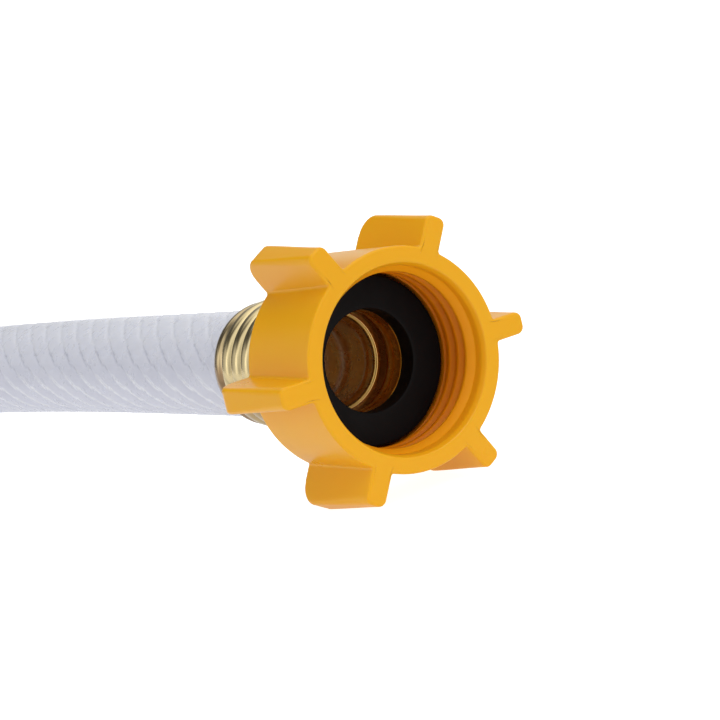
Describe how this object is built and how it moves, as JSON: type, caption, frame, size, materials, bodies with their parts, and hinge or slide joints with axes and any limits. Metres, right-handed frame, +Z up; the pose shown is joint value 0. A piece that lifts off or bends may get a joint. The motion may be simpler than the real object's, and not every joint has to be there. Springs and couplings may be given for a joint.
{
  "type": "water pressure regulator",
  "caption": "Inline brass water pressure regulator with a short reinforced inlet hose that ends in an amber winged swivel nut.",
  "frame": {"origin": "middle of the footprint, on the surface that the assembly lies on", "axes": "+X out of the inlet nut's mouth, along the assembly; +Z up"},
  "size_m": [0.4166, 0.0576, 0.0395],
  "materials": {
    "amber_plastic": "glossy moulded amber plastic",
    "washer_rubber": "matt black rubber",
    "bright_brass": "drawn, polished",
    "machined_brass": "fine machined",
    "hose_pvc": "milky reinforced PVC",
    "seal_rubber": "matt black rubber",
    "stainless_steel": "bright drawn steel",
    "acetal": "machined white acetal"
  },
  "bodies": {
    "regulator": {"inlet_stem": "bright_brass", "inlet_ferrule": "bright_brass", "inlet_hose_end": "hose_pvc", "supply_hose": "hose_pvc", "regulator_hose_end": "hose_pvc", "regulator_ferrule": "bright_brass", "hose_tail": "machined_brass", "hose_tail_o_ring": "seal_rubber", "regulator_body": "machined_brass", "strainer_screen": "stainless_steel", "seat_snap_ring": "stainless_steel", "seat_carrier": "acetal", "seat_disc": "seal_rubber", "seat_screw": "stainless_steel", "piston_spring": "stainless_steel", "outlet_body": "machined_brass", "outlet_body_o_ring": "seal_rubber"},
    "nut": {"swivel_nut": "amber_plastic", "hose_washer": "washer_rubber"},
    "piston": {"piston": "acetal", "piston_stem_o_ring": "seal_rubber", "piston_head_o_ring": "seal_rubber"}
  },
  "joints": [
    {"name": "nut_swivel", "type": "hinge", "parent": "regulator", "child": "nut", "pos_m": [0.19228, 0.0068, 0.01977], "axis": [1, 0, 0], "continuous": true},
    {"name": "piston_travel", "type": "slide", "parent": "regulator", "child": "piston", "axis": [1, 0, 0], "range_m": [0, 0.0015], "stiffness_N_per_m": 10000, "springref_m": -0.001, "deforming": ["piston_spring"]}
  ]
}
